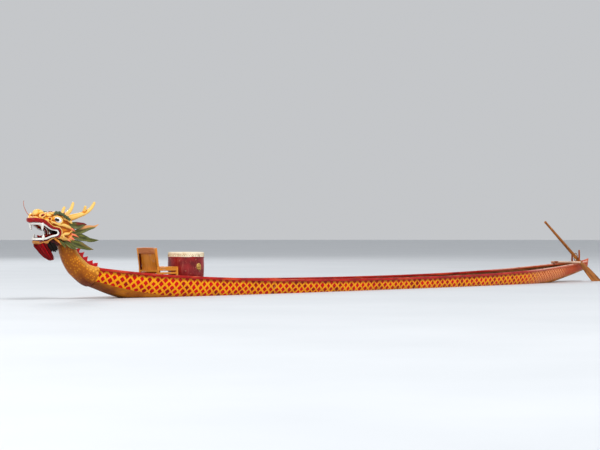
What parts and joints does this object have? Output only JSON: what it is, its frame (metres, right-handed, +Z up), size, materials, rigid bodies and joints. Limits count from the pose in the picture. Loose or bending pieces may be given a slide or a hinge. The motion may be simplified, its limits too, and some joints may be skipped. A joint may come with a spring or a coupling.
{
  "type": "dragon boat",
  "caption": "Long planked paddling boat with a carved dragon's head on a curved neck, cross benches, a drummer's chair and drum, and a swinging steering oar.",
  "frame": {"origin": "amidships on the centreplane, at the level of the water the boat floats in", "axes": "+X to the bow, +Y to port, +Z up"},
  "size_m": [15.1345, 1.217, 1.7918],
  "materials": {
    "lattice_paint": "yellow enamel lattice over deep red diamonds",
    "ochre_paint": "ochre enamel on planks",
    "rail_paint": "red enamel, worn at the edges",
    "crest_paint": "red enamel",
    "neck_paint": "gold lacquer with fine scales",
    "head_paint": "gold lacquer on carved wood",
    "jaw_paint": "gold lacquer on carved wood",
    "tooth_paint": "white gloss enamel",
    "eye_paint": "white gloss enamel with a black pupil",
    "tongue_paint": "red gloss enamel",
    "antler_paint": "pale gold lacquer",
    "mane_paint": "olive green enamel",
    "beard_hair": "dyed dark red fibre",
    "whisker_wire": "copper wire",
    "bench_wood": "varnished plank",
    "frame_wood": "dark oiled timber",
    "chair_wood": "orange-brown varnish, worn",
    "drum_lacquer": "crimson lacquer",
    "drum_hide": "stretched pale hide",
    "rope": "laid natural fibre rope",
    "oar_wood": "oiled timber"
  },
  "bodies": {
    "hull": {"keel_plank": "ochre_paint", "port_bottom_planking": "ochre_paint", "starboard_bottom_planking": "ochre_paint", "port_side_planking": "lattice_paint", "starboard_side_planking": "lattice_paint", "port_gunwale": "rail_paint", "starboard_gunwale": "rail_paint", "bow_block": "ochre_paint", "stern_block": "ochre_paint", "stern_tip": "rail_paint", "floor_frame": "frame_wood", "drum_deck_frame": "frame_wood", "steering_deck_frame": "frame_wood", "floor_boards": "bench_wood", "bow_deck": "bench_wood", "drum_deck": "bench_wood", "steering_deck": "bench_wood", "port_bench_riser": "bench_wood", "starboard_bench_riser": "bench_wood", "dragon_neck": "neck_paint", "neck_crest": "crest_paint", "dragon_head": "head_paint", "lower_jaw": "jaw_paint", "tongue": "tongue_paint", "upper_teeth": "tooth_paint", "lower_teeth": "tooth_paint", "beard": "beard_hair", "starboard_whisker": "whisker_wire", "port_eye": "eye_paint", "starboard_eye": "eye_paint", "port_antler": "antler_paint", "starboard_antler": "antler_paint", "port_mane": "mane_paint", "starboard_mane": "mane_paint", "chair_frame": "chair_wood", "chair_seat": "chair_wood", "chair_back_panel": "chair_wood", "drum_barrel": "drum_lacquer", "drum_skin": "drum_hide", "drum_stand": "frame_wood", "steering_crutch": "frame_wood", "bench_01": "bench_wood", "bench_02": "bench_wood", "bench_03": "bench_wood", "bench_04": "bench_wood", "bench_05": "bench_wood", "bench_06": "bench_wood", "bench_07": "bench_wood", "bench_08": "bench_wood", "bench_09": "bench_wood", "bench_10": "bench_wood", "bench_11": "bench_wood", "bench_12": "bench_wood", "bench_13": "bench_wood"},
    "becket": {"rope_becket": "rope"},
    "steering_oar": {"oar_loom": "oar_wood", "oar_blade": "oar_wood"}
  },
  "joints": [
    {"name": "oar_swing", "type": "hinge", "parent": "hull", "child": "becket", "pos_m": [-6.35, 0.31, 0.505], "axis": [0, 0, 1], "range_deg": [-35, 10]},
    {"name": "oar_dip", "type": "hinge", "parent": "becket", "child": "steering_oar", "pos_m": [-6.35, 0.31, 0.505], "axis": [0, 1, 0], "range_deg": [-12, 33]}
  ]
}
